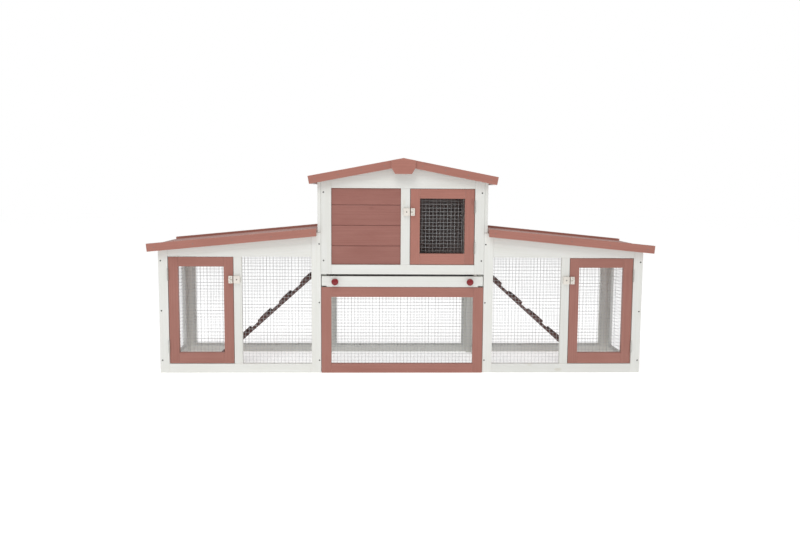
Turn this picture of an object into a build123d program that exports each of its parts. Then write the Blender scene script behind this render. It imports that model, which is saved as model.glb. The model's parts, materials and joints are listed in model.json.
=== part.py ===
from build123d import *
from math import atan, cos, degrees, radians, sin, tan
import os

# Garden rabbit hutch: a raised sleeping house between two mesh runs. Millimetres, +Z up, the front
# faces -Y. The origin is on the ground at the middle of the outline.

# Driving dimensions
body_width = 1962.0  # over the run front frames
side_overhang = 39.0  # run roof past its end frame
body_depth = 440.0  # front face to back face of the frames
house_width = 686.0  # over the two side walls of the house
side_wall_t = 13.0
frame_t = 20.0  # thickness of the front and back frames
end_frame_t = 13.0
stile_w = 38.0
end_stile_w = 37.5  # front stile at each end, which carries the hinges
mid_stile_w = 32.5
back_stile_w = 50.0  # outer stile of a run's back frame
bottom_rail_h = 38.0
run_rise = 69.5  # top of a run's opening above the house floor, so that a run clears its doorway
run_head_h = 52.0  # from a run's opening to the top of its eave
run_door_w = 258.5
house_door_w = 258.0
house_stile_w = 41.5
house_hinge_stile_w = 39.0
house_mid_w = 36.5
under_top = 352.5  # top of the low frame below the tray
under_stick_w = 40.0
under_gap = 1.5  # beside the low frame
tray_slot_h = 53.0  # slot for the tray, above the low frame
house_rail_h = 38.5
house_opening_h = 308.0
post_w = 22.0
door_stile_w = 38.0
door_top_w = 38.0
door_bottom_w = 44.0

# Roofs
run_slope = 5.5
house_ridge_h = 119.6  # ridge above the front opening
house_roof_half = 380.0
house_slope = 10.84
fascia_h = 32.0
fascia_t = 18.0
board_t = 10.0
run_board_drop = 9.0  # the fascias stand this far above the run roof boards
house_board_drop = 4.0
front_overhang = 28.0
back_overhang = 20.0
run_roof_gap = 3.0  # between a run roof and the house wall
gable_block_t = 8.0
gable_block_half_w = 48.0
gable_block_h = 54.0
gable_block_cut = (14.5, 25.0)  # lower corners

# Clearances
hairline = 0.2  # glue line between two sticks
fit_gap = 0.3  # between pieces of different moving bodies
door_gap = 2.0
hinge_gap = 2.5
door_back_gap = 0.4  # between a closed door and its stop strip
joint_gap = 0.5  # between neighbouring panels

# Wire mesh panels, stapled to the inner faces
mesh_t = 0.8
mesh_lap = 12.0

# Boards
plank_t = 10.0
plank_recess = 6.0
plank_pitch = 82.35
plank_first = 76.3  # height of the lowest board
plank_bevel = 2.0
run_roof_boards = 4
house_roof_boards = 4

# Door stops
stop_t = 9.0
stop_cover = 6.0  # how far a stop reaches behind the door
stop_inset = 22.0  # from each end of the opening

# Hinges
hinge_len = 50.0
hinge_plate_t = 0.9
hinge_knuckle_r = 2.6
hinge_pin_r = 1.2
hinge_pin_gap = 0.05
hinge_proud = 2.8  # pin axis in front of the frame face
hinge_plate_w = 18.0
hinge_inset = 70.0  # hinge centre from a door's end
knuckle_mid = 16.4  # length of the moving knuckle

# Slide latches
latch_h = 30.0
latch_t = 10.0
latch_body_l = 16.0
keeper_l = 26.0
keeper_edge = 0.5  # from the stile's edge
latch_drop_run = 92.0  # below the top of the opening
latch_drop_house = 94.0
bolt_h = 9.4
bolt_t = 5.8
bolt_stem = 3.8
bolt_knob_r = 3.4
bolt_knob_l = 5.0
latch_edge = 1.5  # latch body from the door's free edge
latch_bridge = 1.5  # joins the two halves at the closed end of the slot

# Pull-out tray
tray_front_t = 18.0
tray_front_gap = 3.0
tray_front_lift = 1.5  # above the low frame
tray_front_h = 43.0
tray_wall = 1.5
tray_h = 32.0
tray_side_gap = 4.0
tray_back_gap = 14.0
tray_notch = (20.0, 4.5)
runner_w = 38.0
runner_h = 17.5
knob_x = 273.0
knob_r = 14.0
knob_l = 20.0
knob_neck_r = 8.0
knob_neck_l = 6.0
knob_round = 5.0

# Ramps
doorway_w = 180.0
doorway_y = 20.0  # middle of the side doorways
doorway_sill = 6.5  # above the house floor
doorway_h = 153.0
ramp_w = 160.0
ramp_t = 11.0
ramp_angle = 42.0
ramp_axis_drop = 8.5  # rod below the house floor
ramp_axis_out = 15.0  # from the wall to the ramp's rod
ramp_head = 7.0  # board beyond the rod
ramp_foot_gap = 0.5
cleat_l = 48.0
cleat_t = 10.0
cleat_first = 62.0
cleat_pitch = 121.0
cleat_foot_gap = 20.0
rod_r = 3.0
rod_gap = 0.05
ear_t = 3.0
ear_r = 8.0
ear_gap = 1.0  # between an ear and the ramp's edge

# Screws through the frame stiles
screw_r = 3.0
screw_proud = 0.8
screw_foot = 52.0  # lowest screws above the ground
screw_inset = 17.0  # from the ends of an opening

# Places worked out from the sizes above
overhang_y = body_depth / 2 + (front_overhang + back_overhang) / 2 + gable_block_t
y_front = -overhang_y + gable_block_t + front_overhang
y_back = y_front + body_depth
y_in_front = y_front + frame_t
y_in_back = y_back - frame_t
fascia_front = y_front - front_overhang
fascia_back = y_back + back_overhang
boards_front = fascia_front + fascia_t
boards_back = fascia_back - fascia_t
wall_out = house_width / 2
wall_in = wall_out - side_wall_t
run_out = body_width / 2
roof_out = body_width / 2 + side_overhang
house_floor = under_top + tray_slot_h
run_opening_top = house_floor + run_rise
run_eave_z = run_opening_top + run_head_h
house_opening_bottom = house_floor + house_rail_h
house_opening_top = house_opening_bottom + house_opening_h
house_ridge_z = house_opening_top + house_ridge_h
run_in_edge = wall_in + stile_w  # the run frame laps over the wall's edge
door_hinge_edge = run_out - end_stile_w
door_free_edge = door_hinge_edge - hinge_gap - run_door_w - door_gap
mid_stile_in = door_free_edge - mid_stile_w
run_door_z = bottom_rail_h + door_gap
run_door_top = run_opening_top - door_gap
house_panel = wall_in - joint_gap
house_hinge_edge = house_panel - house_hinge_stile_w
house_free_edge = house_hinge_edge - hinge_gap - house_door_w - door_gap
house_mid_left = house_free_edge - house_mid_w
house_left = -house_panel + house_stile_w
run_tan = tan(radians(run_slope))
house_tan = tan(radians(house_slope))
os.makedirs("parts", exist_ok=True)


def run_top(x):
    """Top line of a run fascia at a distance x from the middle."""
    return run_eave_z + (roof_out - x) * run_tan


def run_under(x):
    """Underside of the run roof boards."""
    return run_top(x) - run_board_drop - board_t / cos(radians(run_slope))


def house_top(x):
    """Top line of a house fascia."""
    return house_ridge_z - abs(x) * house_tan


def house_under(x):
    """Underside of the house roof boards."""
    return house_top(x) - house_board_drop - board_t / cos(radians(house_slope))


def stick(x0, x1, y0, y1, z0, z1, mode=Mode.ADD):
    """A square-edged stick or sheet between two corners."""
    with Locations(((x0 + x1) / 2, (y0 + y1) / 2, (z0 + z1) / 2)):
        Box(abs(x1 - x0), y1 - y0, z1 - z0, mode=mode)


def board_xz(points, y0, y1, mode=Mode.ADD):
    """A board with an outline seen from the front, from y0 back to y1."""
    with BuildSketch(Plane.XZ.offset(-y1)) as outline:
        with BuildLine():
            Polyline(*points, close=True)
        make_face()
    extrude(outline.sketch, amount=y1 - y0, mode=mode)


def upright(side, x0, x1, y0, y1, z0, under):
    """A stick whose top end is cut to the slope of the roof above it."""
    board_xz(
        [(side * x0, z0), (side * x1, z0), (side * x1, under(x1)), (side * x0, under(x0))],
        y0,
        y1,
    )


def mesh_panel(x0, x1, y0, y1, z0, z1):
    """A sheet that laps an opening by the width of the stapled edge."""
    stick(x0 - mesh_lap, x1 + mesh_lap, y0, y1, z0 - mesh_lap, z1 + mesh_lap)


# Mesh runs: four-sided frames with a sloping head board, one run at each side of the house
for side, name in ((-1, "left"), (1, "right")):
    head_x0 = run_in_edge + hairline
    front_x1 = door_hinge_edge - hairline
    back_edge = run_out - back_stile_w
    with BuildPart() as run_front_frame:
        upright(side, door_hinge_edge, run_out, y_front, y_in_front, 0, run_under)
        upright(side, wall_in, run_in_edge, y_front, y_in_front, 0, run_under)
        upright(side, head_x0, front_x1, y_front, y_in_front, run_opening_top, run_under)
        stick(side * head_x0, side * front_x1, y_front, y_in_front, 0, bottom_rail_h)
        stick(
            side * mid_stile_in,
            side * door_free_edge,
            y_front,
            y_in_front,
            bottom_rail_h + hairline,
            run_opening_top - hairline,
        )
        stop_x1 = door_free_edge + door_gap + stop_cover
        stick(
            side * (mid_stile_in + mesh_lap + 2),
            side * stop_x1,
            y_in_front + hairline,
            y_in_front + hairline + stop_t,
            bottom_rail_h + stop_inset,
            run_opening_top - stop_inset,
        )
    run_front_frame.part.label = f"{name}_run_front_frame"
    export_step(run_front_frame.part, f"parts/{name}_run_front_frame.step")

    with BuildPart() as run_front_mesh:
        x0, x1 = sorted((side * run_in_edge, side * mid_stile_in))
        mesh_panel(x0, x1, y_in_front, y_in_front + mesh_t, bottom_rail_h, run_opening_top)
    run_front_mesh.part.label = f"{name}_run_front_mesh"
    export_step(run_front_mesh.part, f"parts/{name}_run_front_mesh.step")

    with BuildPart() as run_back_frame:
        upright(side, back_edge, run_out, y_in_back, y_back, 0, run_under)
        upright(side, wall_in, run_in_edge, y_in_back, y_back, 0, run_under)
        upright(
            side, head_x0, back_edge - hairline, y_in_back, y_back, run_opening_top, run_under
        )
        stick(
            side * head_x0, side * (back_edge - hairline), y_in_back, y_back, 0, bottom_rail_h
        )
    run_back_frame.part.label = f"{name}_run_back_frame"
    export_step(run_back_frame.part, f"parts/{name}_run_back_frame.step")

    with BuildPart() as run_back_mesh:
        x0, x1 = sorted((side * run_in_edge, side * back_edge))
        mesh_panel(x0, x1, y_in_back - mesh_t, y_in_back, bottom_rail_h, run_opening_top)
    run_back_mesh.part.label = f"{name}_run_back_mesh"
    export_step(run_back_mesh.part, f"parts/{name}_run_back_mesh.step")

    end_in = run_out - end_frame_t
    end_y0 = y_in_front + stile_w
    end_y1 = y_in_back - stile_w
    with BuildPart() as run_end_frame:
        upright(side, end_in, run_out, y_in_front, end_y0, 0, run_under)
        upright(side, end_in, run_out, end_y1, y_in_back, 0, run_under)
        upright(
            side, end_in, run_out, end_y0 + hairline, end_y1 - hairline, run_opening_top, run_under
        )
        stick(
            side * end_in, side * run_out, end_y0 + hairline, end_y1 - hairline, 0, bottom_rail_h
        )
    run_end_frame.part.label = f"{name}_run_end_frame"
    export_step(run_end_frame.part, f"parts/{name}_run_end_frame.step")

    with BuildPart() as run_end_mesh:
        x0, x1 = sorted((side * (end_in - mesh_t), side * end_in))
        stick(
            x0,
            x1,
            end_y0 - mesh_lap,
            end_y1 + mesh_lap,
            bottom_rail_h - mesh_lap,
            run_opening_top + mesh_lap,
        )
    run_end_mesh.part.label = f"{name}_run_end_mesh"
    export_step(run_end_mesh.part, f"parts/{name}_run_end_mesh.step")

    # Run roof: long boards down the slope, edged by fascias on three sides
    roof_in = wall_out + run_roof_gap
    roof_end = roof_out - fascia_t
    with BuildPart() as run_roof_board:
        pitch = (boards_back - boards_front) / run_roof_boards
        for i in range(run_roof_boards):
            y0 = boards_front + i * pitch + (hairline if i else 0)
            board_xz(
                [
                    (side * roof_in, run_top(roof_in) - run_board_drop),
                    (side * roof_end, run_top(roof_end) - run_board_drop),
                    (side * roof_end, run_under(roof_end)),
                    (side * roof_in, run_under(roof_in)),
                ],
                y0,
                boards_front + (i + 1) * pitch,
            )
    run_roof_board.part.label = f"{name}_run_roof_boards"
    export_step(run_roof_board.part, f"parts/{name}_run_roof_boards.step")

    rise = fascia_h / cos(radians(run_slope))
    end_cut = fascia_h * sin(radians(run_slope))  # end cut square to the slope
    foot_x = roof_out - end_cut
    with BuildPart() as run_roof_fascia:
        for y0 in (fascia_front, boards_back):
            board_xz(
                [
                    (side * roof_in, run_top(roof_in)),
                    (side * roof_out, run_top(roof_out)),
                    (side * foot_x, run_top(foot_x) - rise),
                    (side * roof_in, run_top(roof_in) - rise),
                ],
                y0,
                y0 + fascia_t,
            )
        # The eave board lies between the other two, its foot level with theirs
        board_xz(
            [
                (side * roof_end, run_top(roof_end) - run_board_drop),
                (side * foot_x, run_top(foot_x) - run_board_drop),
                (side * foot_x, run_top(foot_x) - rise),
                (side * roof_end, run_top(roof_end) - rise),
            ],
            boards_front + hairline,
            boards_back - hairline,
        )
    run_roof_fascia.part.label = f"{name}_run_roof_fascias"
    export_step(run_roof_fascia.part, f"parts/{name}_run_roof_fascias.step")

# House front: stiles, bottom rail, one middle stile and the gable board
with BuildPart() as house_front_frame:
    upright(-1, -house_left, house_panel, y_front, y_in_front, house_floor, house_under)
    upright(1, house_hinge_edge, house_panel, y_front, y_in_front, house_floor, house_under)
    rail_x0, rail_x1 = house_left + hairline, house_hinge_edge - hairline
    stick(rail_x0, rail_x1, y_front, y_in_front, house_floor, house_opening_bottom)
    stick(
        house_mid_left,
        house_free_edge,
        y_front,
        y_in_front,
        house_opening_bottom + hairline,
        house_opening_top - hairline,
    )
    board_xz(
        [
            (rail_x0, house_opening_top),
            (rail_x1, house_opening_top),
            (rail_x1, house_under(rail_x1)),
            (0, house_under(0)),
            (rail_x0, house_under(rail_x0)),
        ],
        y_front,
        y_in_front,
    )
    stick(
        house_mid_left + mesh_lap + 2,
        house_free_edge + door_gap + stop_cover,
        y_in_front + hairline,
        y_in_front + hairline + stop_t,
        house_opening_bottom + stop_inset,
        house_opening_top - stop_inset,
    )
house_front_frame.part.label = "house_front_frame"
export_step(house_front_frame.part, "parts/house_front_frame.step")

plank_edges = [house_opening_bottom + hairline, house_opening_bottom + plank_first]
while plank_edges[-1] + plank_pitch < house_opening_top - plank_bevel * 4:
    plank_edges.append(plank_edges[-1] + plank_pitch)
plank_edges.append(house_opening_top)

# Bevelled boards that fill the front opening beside the door
with BuildPart() as house_front_planks:
    plank_y = y_front + plank_recess
    for z0, z1 in zip(plank_edges, plank_edges[1:]):
        stick(
            house_left + hairline,
            house_mid_left - hairline,
            plank_y,
            plank_y + plank_t,
            z0,
            z1 - hairline,
        )
    chamfer(
        house_front_planks.edges().filter_by(Axis.X).group_by(Axis.Y)[0], length=plank_bevel
    )
house_front_planks.part.label = "house_front_planks"
export_step(house_front_planks.part, "parts/house_front_planks.step")

# One tall frame closes the back of the house and of the space under it
with BuildPart() as house_back_frame:
    for side in (-1, 1):
        upright(side, -house_left, house_panel, y_in_back, y_back, 0, house_under)
    rail_x1 = -house_left - hairline
    stick(-rail_x1, rail_x1, y_in_back, y_back, 0, bottom_rail_h)
    stick(-rail_x1, rail_x1, y_in_back, y_back, under_top, house_opening_bottom)
    board_xz(
        [
            (-rail_x1, house_opening_top),
            (rail_x1, house_opening_top),
            (rail_x1, house_under(rail_x1)),
            (0, house_under(0)),
            (-rail_x1, house_under(rail_x1)),
        ],
        y_in_back,
        y_back,
    )
house_back_frame.part.label = "house_back_frame"
export_step(house_back_frame.part, "parts/house_back_frame.step")

with BuildPart() as house_back_planks:
    back_plank_y = y_back - plank_recess - plank_t
    for z0, z1 in zip(plank_edges, plank_edges[1:]):
        stick(-rail_x1, rail_x1, back_plank_y, back_plank_y + plank_t, z0, z1 - hairline)
    chamfer(
        house_back_planks.edges().filter_by(Axis.X).group_by(Axis.Y)[-1], length=plank_bevel
    )
house_back_planks.part.label = "house_back_planks"
export_step(house_back_planks.part, "parts/house_back_planks.step")

# Side walls: boards above the floor with a doorway to each run, an open frame below it
wall_step = run_under(wall_in) + 1.0  # above it the wall comes forward, flush with the front
way_y0 = doorway_y - doorway_w / 2
way_y1 = doorway_y + doorway_w / 2
doorway_bottom = house_floor + doorway_sill
doorway_top = doorway_bottom + doorway_h
for side, name in ((-1, "left"), (1, "right")):
    a, b = side * wall_in, side * wall_out
    with BuildPart() as side_wall:
        upright(side, wall_in, wall_out, y_front, y_back, wall_step, house_under)
        low_top = wall_step - hairline
        stick(a, b, y_in_front, way_y0, house_floor, low_top)
        stick(a, b, way_y1, y_in_back, house_floor, low_top)
        stick(a, b, way_y0 + hairline, way_y1 - hairline, doorway_top, low_top)
        stick(a, b, way_y0 + hairline, way_y1 - hairline, house_floor, doorway_bottom)
        leg_top = house_floor - hairline
        stick(a, b, y_in_front, y_in_front + stile_w, 0, leg_top)
        stick(a, b, y_in_back - stile_w, y_in_back, 0, leg_top)
        stick(
            a,
            b,
            y_in_front + stile_w + hairline,
            y_in_back - stile_w - hairline,
            0,
            bottom_rail_h,
        )
    side_wall.part.label = f"{name}_side_wall"
    export_step(side_wall.part, f"parts/{name}_side_wall.step")

# Four corner posts tie the walls and the front and back frames together
post_in = wall_in - post_w
with BuildPart() as corner_posts:
    for side in (-1, 1):
        for y0 in (y_in_front, y_in_back - post_w):
            upright(side, post_in, wall_in, y0, y0 + post_w, 0, house_under)
corner_posts.part.label = "corner_posts"
export_step(corner_posts.part, "parts/corner_posts.step")

# Low framed mesh panel below the tray
under_half = wall_in - under_gap
under_in = under_half - under_stick_w
with BuildPart() as under_front_frame:
    for side in (-1, 1):
        stick(side * under_in, side * under_half, y_front, y_in_front, 0, under_top)
    under_rail = under_in - hairline
    stick(-under_rail, under_rail, y_front, y_in_front, under_top - under_stick_w, under_top)
    stick(-under_rail, under_rail, y_front, y_in_front, 0, bottom_rail_h)
under_front_frame.part.label = "under_front_frame"
export_step(under_front_frame.part, "parts/under_front_frame.step")

with BuildPart() as under_front_mesh:
    mesh_panel(
        -under_in,
        under_in,
        y_in_front,
        y_in_front + mesh_t,
        bottom_rail_h,
        under_top - under_stick_w,
    )
under_front_mesh.part.label = "under_front_mesh"
export_step(under_front_mesh.part, "parts/under_front_mesh.step")

with BuildPart() as under_back_mesh:
    mesh_panel(house_left, -house_left, y_in_back - mesh_t, y_in_back, bottom_rail_h, under_top)
under_back_mesh.part.label = "under_back_mesh"
export_step(under_back_mesh.part, "parts/under_back_mesh.step")

# House roof: boards along the ridge on each slope, mitred fascias and a plate over each mitre
for side, name in ((-1, "left"), (1, "right")):
    with BuildPart() as house_roof_board:
        eave = house_roof_half - fascia_t
        pitch = eave / house_roof_boards
        for i in range(house_roof_boards):
            x0 = i * pitch + hairline / 2
            x1 = (i + 1) * pitch - hairline / 2
            board_xz(
                [
                    (side * x0, house_top(x0) - house_board_drop),
                    (side * x1, house_top(x1) - house_board_drop),
                    (side * x1, house_under(x1)),
                    (side * x0, house_under(x0)),
                ],
                boards_front,
                boards_back,
            )
    house_roof_board.part.label = f"house_roof_boards_{name}"
    export_step(house_roof_board.part, f"parts/house_roof_boards_{name}.step")

house_rise = fascia_h / cos(radians(house_slope))
house_cut = fascia_h * sin(radians(house_slope))
with BuildPart() as house_roof_fascias:
    for side in (-1, 1):
        for y0 in (fascia_front, boards_back):
            x0, x1 = hairline / 2, house_roof_half
            board_xz(
                [
                    (side * x0, house_top(x0)),
                    (side * x1, house_top(x1)),
                    (side * (x1 - house_cut), house_top(x1 - house_cut) - house_rise),
                    (side * x0, house_top(x0) - house_rise),
                ],
                y0,
                y0 + fascia_t,
            )
        eave_x1 = house_roof_half - house_cut
        board_xz(
            [
                (side * eave, house_top(eave) - house_board_drop),
                (side * eave_x1, house_top(eave_x1) - house_board_drop),
                (side * eave_x1, house_top(eave_x1) - house_rise),
                (side * eave, house_top(eave) - house_rise),
            ],
            boards_front + hairline,
            boards_back - hairline,
        )
house_roof_fascias.part.label = "house_roof_fascias"
export_step(house_roof_fascias.part, "parts/house_roof_fascias.step")

with BuildPart() as gable_blocks:
    block_side = house_top(gable_block_half_w)
    block_low = block_side - gable_block_h
    cut_x, cut_z = gable_block_cut
    for y0 in (fascia_front - gable_block_t, fascia_back):
        board_xz(
            [
                (0, house_ridge_z),
                (gable_block_half_w, block_side),
                (gable_block_half_w, block_low + cut_z),
                (gable_block_half_w - cut_x, block_low),
                (cut_x - gable_block_half_w, block_low),
                (-gable_block_half_w, block_low + cut_z),
                (-gable_block_half_w, block_side),
            ],
            y0,
            y0 + gable_block_t,
        )
gable_blocks.part.label = "gable_blocks"
export_step(gable_blocks.part, "parts/gable_blocks.step")


# Doors: framed mesh, hung on the outer edge of each run and on the right of the house
def door_frame(x0, x1, z0, z1):
    """Four sticks; x0 and x1 are the door's edges in either order."""
    x0, x1 = min(x0, x1), max(x0, x1)
    y1 = y_in_front - door_back_gap
    stick(x0, x0 + door_stile_w, y_front, y1, z0, z1)
    stick(x1 - door_stile_w, x1, y_front, y1, z0, z1)
    rail = (x0 + door_stile_w + hairline, x1 - door_stile_w - hairline)
    stick(*rail, y_front, y1, z1 - door_top_w, z1)
    stick(*rail, y_front, y1, z0, z0 + door_bottom_w)


def door_mesh(x0, x1, z0, z1):
    """The sheet behind a door's opening."""
    x0, x1 = min(x0, x1), max(x0, x1)
    y0 = y_in_front - door_back_gap
    mesh_panel(
        x0 + door_stile_w, x1 - door_stile_w, y0, y0 + mesh_t, z0 + door_bottom_w, z1 - door_top_w
    )


hinge_y = y_front - hinge_proud
knuckle_gap = fit_gap


def hinge_plate(axis_x, toward, z):
    """The flat leaf on one side of the gap."""
    inner = hinge_gap / 2 - hinge_plate_t
    stick(
        axis_x + toward * inner,
        axis_x + toward * hinge_gap / 2,
        hinge_y + hinge_knuckle_r + 0.4,
        y_front + hinge_plate_w,
        z - hinge_len / 2,
        z + hinge_len / 2,
    )


def hinge_tab(axis_x, toward, z0, z1):
    """The strip that joins a leaf to its knuckle."""
    inner = hinge_gap / 2 - hinge_plate_t
    stick(
        axis_x + toward * inner,
        axis_x + toward * hinge_gap / 2,
        hinge_y + hinge_pin_r + 0.4,
        hinge_y + hinge_knuckle_r + 0.5,
        z0,
        z1,
    )


def fixed_hinge(axis_x, toward, z):
    """Leaf on the stile, two outer knuckles and the pin."""
    hinge_plate(axis_x, toward, z)
    for end in (-1, 1):
        z0 = z + end * (knuckle_mid / 2 + knuckle_gap)
        z1 = z + end * hinge_len / 2
        hinge_tab(axis_x, toward, min(z0, z1), max(z0, z1))
        with Locations((axis_x, hinge_y, (z0 + z1) / 2)):
            Cylinder(hinge_knuckle_r, abs(z1 - z0))
    with Locations((axis_x, hinge_y, z)):
        Cylinder(hinge_pin_r, hinge_len)


def moving_hinge(axis_x, toward, z):
    """Leaf on the door and the middle knuckle, bored for the pin."""
    hinge_plate(axis_x, toward, z)
    hinge_tab(axis_x, toward, z - knuckle_mid / 2, z + knuckle_mid / 2)
    with Locations((axis_x, hinge_y, z)):
        Cylinder(hinge_knuckle_r, knuckle_mid)
        Cylinder(hinge_pin_r + hinge_pin_gap, knuckle_mid, mode=Mode.SUBTRACT)


run_hinge_x = door_hinge_edge - hinge_gap / 2
house_hinge_x = house_hinge_edge - hinge_gap / 2
house_door_z = house_opening_bottom + door_gap
house_door_top = house_opening_top - door_gap
latch_z_run = run_opening_top - latch_drop_run
latch_z_house = house_opening_top - latch_drop_house
run_hinges = (run_door_z + hinge_inset, run_door_top - hinge_inset)
house_hinges = (house_door_z + hinge_inset, house_door_top - hinge_inset)
doors = (
    # name, hinge axis, side of the stile, free edge, bottom, top, hinge heights, latch height
    ("left", -run_hinge_x, -1, -door_free_edge, run_door_z, run_door_top, run_hinges, latch_z_run),
    ("right", run_hinge_x, 1, door_free_edge, run_door_z, run_door_top, run_hinges, latch_z_run),
    (
        "house",
        house_hinge_x,
        1,
        house_free_edge,
        house_door_z,
        house_door_top,
        house_hinges,
        latch_z_house,
    ),
)

for name, axis_x, toward, free, z0, z1, heights, latch_z in doors:
    hung = axis_x - toward * hinge_gap / 2
    edge = free + toward * door_gap
    with BuildPart() as door:
        door_frame(hung, edge, z0, z1)
    door.part.label = f"{name}_door_frame"
    export_step(door.part, f"parts/{name}_door_frame.step")

    with BuildPart() as mesh:
        door_mesh(hung, edge, z0, z1)
    mesh.part.label = f"{name}_door_mesh"
    export_step(mesh.part, f"parts/{name}_door_mesh.step")

    with BuildPart() as leaf:
        for z in heights:
            moving_hinge(axis_x, -toward, z)
    leaf.part.label = f"{name}_door_hinge_leaves"
    export_step(leaf.part, f"parts/{name}_door_hinge_leaves.step")

    # Slide latch: a block on the door guides a flat bolt that is pushed by a finger stub
    near = edge + toward * latch_edge
    far = near + toward * latch_body_l
    channel = bolt_t + 2 * fit_gap
    half = bolt_h / 2 + fit_gap
    slot = bolt_stem / 2 + fit_gap
    with BuildPart() as latch_body:
        stick(near, far, y_front - latch_t, y_front, latch_z - latch_h / 2, latch_z + latch_h / 2)
        over = toward
        stick(
            near - over,
            far + over,
            y_front - channel,
            y_front + 1,
            latch_z - half,
            latch_z + half,
            mode=Mode.SUBTRACT,
        )
        stick(
            near - over,
            far - toward * latch_bridge,
            y_front - latch_t - 1,
            y_front,
            latch_z - slot,
            latch_z + slot,
            mode=Mode.SUBTRACT,
        )
    latch_body.part.label = f"{name}_latch_body"
    export_step(latch_body.part, f"parts/{name}_latch_body.step")

    bolt_y1 = y_front - fit_gap
    with BuildPart() as latch_bolt:
        stick(
            near + toward * fit_gap,
            far - toward * fit_gap,
            bolt_y1 - bolt_t,
            bolt_y1,
            latch_z - bolt_h / 2,
            latch_z + bolt_h / 2,
        )
        stub_x = far - toward * (fit_gap + bolt_knob_r)
        stub_y = y_front - latch_t - fit_gap
        stick(
            stub_x - bolt_stem / 2,
            stub_x + bolt_stem / 2,
            stub_y - 1,
            bolt_y1 - bolt_t + 1,
            latch_z - bolt_stem / 2,
            latch_z + bolt_stem / 2,
        )
        with BuildSketch(Plane.XZ.offset(-stub_y)) as stub:
            with Locations((stub_x, latch_z)):
                Circle(bolt_knob_r)
        extrude(amount=bolt_knob_l)
    latch_bolt.part.label = f"{name}_latch_bolt"
    export_step(latch_bolt.part, f"parts/{name}_latch_bolt.step")

with BuildPart() as hinge_fixed_leaves:
    for name, axis_x, toward, free, z0, z1, heights, latch_z in doors:
        for z in heights:
            fixed_hinge(axis_x, toward, z)
hinge_fixed_leaves.part.label = "hinge_fixed_leaves"
export_step(hinge_fixed_leaves.part, "parts/hinge_fixed_leaves.step")

# Keepers on the stiles: four small blocks each, around a pocket for the bolt
with BuildPart() as latch_keepers:
    pocket = bolt_t + 2 * fit_gap
    half = bolt_h / 2 + fit_gap
    for name, axis_x, toward, free, z0, z1, heights, latch_z in doors:
        near = free - toward * keeper_edge
        far = near - toward * keeper_l
        top = latch_h / 2
        stick(near, far, y_front - latch_t, y_front, latch_z + half, latch_z + top)
        stick(near, far, y_front - latch_t, y_front, latch_z - top, latch_z - half)
        half_in = half - hairline
        cover_y = y_front - pocket
        stick(near, far, y_front - latch_t, cover_y, latch_z - half_in, latch_z + half_in)
        stop_x = near - toward * latch_body_l
        stick(stop_x, far, cover_y + hairline, y_front, latch_z - half_in, latch_z + half_in)
latch_keepers.part.label = "latch_keepers"
export_step(latch_keepers.part, "parts/latch_keepers.step")

# Pull-out tray: sheet pan, timber front and two turned knobs
tray_front_z = under_top + tray_front_lift
pan_half = post_in - tray_side_gap
pan_z = tray_front_z + 2.0
pan_y0 = y_front + tray_front_t
pan_y1 = y_in_back - tray_back_gap
with BuildPart() as tray_pan:
    stick(-pan_half, pan_half, pan_y0, pan_y1, pan_z, pan_z + tray_h)
    stick(
        tray_wall - pan_half,
        pan_half - tray_wall,
        pan_y0 + tray_wall,
        pan_y1 - tray_wall,
        pan_z + tray_wall,
        pan_z + tray_h + 1,
        mode=Mode.SUBTRACT,
    )
tray_pan.part.label = "tray_pan"
export_step(tray_pan.part, "parts/tray_pan.step")

with BuildPart() as tray_front:
    half = wall_in - tray_front_gap
    stick(-half, half, y_front, pan_y0, tray_front_z, tray_front_z + tray_front_h)
    for side in (-1, 1):
        stick(
            side * (half - tray_notch[0]),
            side * (half + 1),
            y_front - 1,
            pan_y0 + 1,
            tray_front_z - 1,
            tray_front_z + tray_notch[1],
            mode=Mode.SUBTRACT,
        )
tray_front.part.label = "tray_front"
export_step(tray_front.part, "parts/tray_front.step")

with BuildPart() as tray_knobs:
    knob_z = tray_front_z + tray_front_h / 2
    knob_points = [(side * knob_x, knob_z) for side in (-1, 1)]
    with BuildSketch(Plane.XZ.offset(-y_front)):
        with Locations(*knob_points):
            Circle(knob_neck_r)
    extrude(amount=knob_neck_l)
    with BuildSketch(Plane.XZ.offset(-y_front + knob_neck_l)):
        with Locations(*knob_points):
            Circle(knob_r)
    extrude(amount=knob_l - knob_neck_l)
    fillet(tray_knobs.edges().filter_by(GeomType.CIRCLE).group_by(Axis.Y)[0], radius=knob_round)
    chamfer(
        tray_knobs.edges().filter_by(GeomType.CIRCLE).group_by(SortBy.RADIUS)[-1], length=1.0
    )
tray_knobs.part.label = "tray_knobs"
export_step(tray_knobs.part, "parts/tray_knobs.step")

# Runners between the corner posts carry the pan
with BuildPart() as tray_runners:
    runner_top = pan_z - fit_gap
    for side in (-1, 1):
        stick(
            side * (wall_in - runner_w),
            side * wall_in,
            y_in_front + post_w,
            y_in_back - post_w,
            runner_top - runner_h,
            runner_top,
        )
tray_runners.part.label = "tray_runners"
export_step(tray_runners.part, "parts/tray_runners.step")

# Ramps: a cleated board on a steel rod that turns in two ears below each doorway
ramp_x = wall_out + ramp_axis_out
ramp_axis_z = house_floor - ramp_axis_drop
run_sin, run_cos = sin(radians(ramp_angle)), cos(radians(ramp_angle))
ramp_y0 = doorway_y - ramp_w / 2
ramp_y1 = doorway_y + ramp_w / 2


def on_ramp(side, along, up):
    """A point on the ramp: its distance down from the rod and its height above the board's middle."""
    x = ramp_x + along * run_cos + up * run_sin
    return (side * x, ramp_axis_z - along * run_sin + up * run_cos)


def ramp_foot(up):
    """Distance from the rod to the ground cut at a height above the board's middle."""
    return (ramp_axis_z - ramp_foot_gap + up * run_cos) / run_sin


cleat_run = ramp_foot(0) - cleat_first - cleat_l / 2 - cleat_foot_gap
cleat_count = int(cleat_run // cleat_pitch) + 1

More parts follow.
